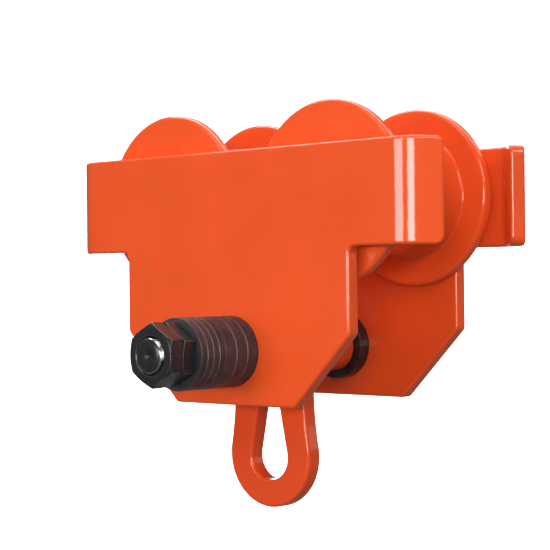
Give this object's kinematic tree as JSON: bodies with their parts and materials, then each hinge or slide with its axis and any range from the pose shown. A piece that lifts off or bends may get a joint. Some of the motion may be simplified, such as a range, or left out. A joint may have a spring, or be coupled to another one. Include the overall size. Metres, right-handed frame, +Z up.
{
  "type": "beam trolley",
  "caption": "Push trolley that rolls along the lower flange of a steel beam on flanged wheels, with a link on a cross shaft to hang a hoist from.",
  "frame": {"origin": "middle of the running surface: half way between the axles and between the side plates, at the height where the wheel treads meet the beam flange", "axes": "+X along the beam, -Y towards the front side plate, +Z up"},
  "size_m": [0.3154, 0.281, 0.2687],
  "materials": {
    "orange_paint": "smooth glossy enamel over primed plate, edges softened by the paint",
    "link_paint": "glossy enamel over a forged link, a little darker than the plates",
    "black_oxide": "glossy oiled black oxide on turned steel",
    "washer_steel": "satin browned steel with fine turning marks on the rims",
    "bright_steel": "ground bearing steel under a film of oil",
    "cage_steel": "pressed steel with a dull zinc tone",
    "shield_steel": "pressed bright sheet with fine rings",
    "spring_steel": "phosphated spring steel, satin"
  },
  "bodies": {
    "frame": {"front_side_plate": "orange_paint", "rear_side_plate": "orange_paint", "load_shaft": "black_oxide", "front_thick_washers": "washer_steel", "front_thin_washers": "washer_steel", "front_inner_washer": "black_oxide", "front_inner_nut": "black_oxide", "front_outer_nut": "black_oxide", "rear_thick_washers": "washer_steel", "rear_thin_washers": "washer_steel", "rear_inner_washer": "black_oxide", "rear_inner_nut": "black_oxide", "rear_outer_nut": "black_oxide", "front_left_axle_pin": "bright_steel", "front_left_bearing_inner_rings": "bright_steel", "front_left_axle_circlip": "spring_steel", "front_right_axle_pin": "bright_steel", "front_right_bearing_inner_rings": "bright_steel", "front_right_axle_circlip": "spring_steel", "rear_left_axle_pin": "bright_steel", "rear_left_bearing_inner_rings": "bright_steel", "rear_left_axle_circlip": "spring_steel", "rear_right_axle_pin": "bright_steel", "rear_right_bearing_inner_rings": "bright_steel", "rear_right_axle_circlip": "spring_steel"},
    "front_left_wheel": {"front_left_wheel": "orange_paint", "front_left_bearing_outer_rings": "bright_steel", "front_left_bearing_shields": "shield_steel", "front_left_hub_circlip": "spring_steel"},
    "front_left_balls": {"front_left_bearing_balls": "bright_steel", "front_left_bearing_cages": "cage_steel"},
    "front_right_wheel": {"front_right_wheel": "orange_paint", "front_right_bearing_outer_rings": "bright_steel", "front_right_bearing_shields": "shield_steel", "front_right_hub_circlip": "spring_steel"},
    "front_right_balls": {"front_right_bearing_balls": "bright_steel", "front_right_bearing_cages": "cage_steel"},
    "rear_left_wheel": {"rear_left_wheel": "orange_paint", "rear_left_bearing_outer_rings": "bright_steel", "rear_left_bearing_shields": "shield_steel", "rear_left_hub_circlip": "spring_steel"},
    "rear_left_balls": {"rear_left_bearing_balls": "bright_steel", "rear_left_bearing_cages": "cage_steel"},
    "rear_right_wheel": {"rear_right_wheel": "orange_paint", "rear_right_bearing_outer_rings": "bright_steel", "rear_right_bearing_shields": "shield_steel", "rear_right_hub_circlip": "spring_steel"},
    "rear_right_balls": {"rear_right_bearing_balls": "bright_steel", "rear_right_bearing_cages": "cage_steel"},
    "spacer_sleeve": {"spacer_sleeve": "orange_paint"},
    "load_link": {"load_link": "link_paint"}
  },
  "joints": [
    {"name": "front_left_wheel_spin", "type": "hinge", "parent": "frame", "child": "front_left_wheel", "pos_m": [-0.07, -0.0326, 0.042], "axis": [0, 1, 0], "continuous": true},
    {"name": "front_left_balls_spin", "type": "hinge", "parent": "frame", "child": "front_left_balls", "pos_m": [-0.07, -0.0326, 0.042], "axis": [0, 1, 0], "continuous": true},
    {"name": "front_right_wheel_spin", "type": "hinge", "parent": "frame", "child": "front_right_wheel", "pos_m": [0.07, -0.0326, 0.042], "axis": [0, 1, 0], "continuous": true},
    {"name": "front_right_balls_spin", "type": "hinge", "parent": "frame", "child": "front_right_balls", "pos_m": [0.07, -0.0326, 0.042], "axis": [0, 1, 0], "continuous": true},
    {"name": "rear_left_wheel_spin", "type": "hinge", "parent": "frame", "child": "rear_left_wheel", "pos_m": [-0.07, 0.0326, 0.042], "axis": [0, 1, 0], "continuous": true},
    {"name": "rear_left_balls_spin", "type": "hinge", "parent": "frame", "child": "rear_left_balls", "pos_m": [-0.07, 0.0326, 0.042], "axis": [0, 1, 0], "continuous": true},
    {"name": "rear_right_wheel_spin", "type": "hinge", "parent": "frame", "child": "rear_right_wheel", "pos_m": [0.07, 0.0326, 0.042], "axis": [0, 1, 0], "continuous": true},
    {"name": "rear_right_balls_spin", "type": "hinge", "parent": "frame", "child": "rear_right_balls", "pos_m": [0.07, 0.0326, 0.042], "axis": [0, 1, 0], "continuous": true},
    {"name": "link_swing", "type": "hinge", "parent": "frame", "child": "spacer_sleeve", "pos_m": [0, 0, -0.0597], "axis": [0, 1, 0], "range_deg": [-90, 90]},
    {"name": "link_slide", "type": "slide", "parent": "spacer_sleeve", "child": "load_link", "axis": [0, 1, 0], "range_m": [-0.0149, 0.0592]}
  ],
  "couplings": [
    {"joint": "front_left_balls_spin", "follows": "front_left_wheel_spin", "ratio": 0.6185},
    {"joint": "front_right_balls_spin", "follows": "front_right_wheel_spin", "ratio": 0.6185},
    {"joint": "rear_left_balls_spin", "follows": "rear_left_wheel_spin", "ratio": 0.6185},
    {"joint": "rear_right_balls_spin", "follows": "rear_right_wheel_spin", "ratio": 0.6185}
  ]
}
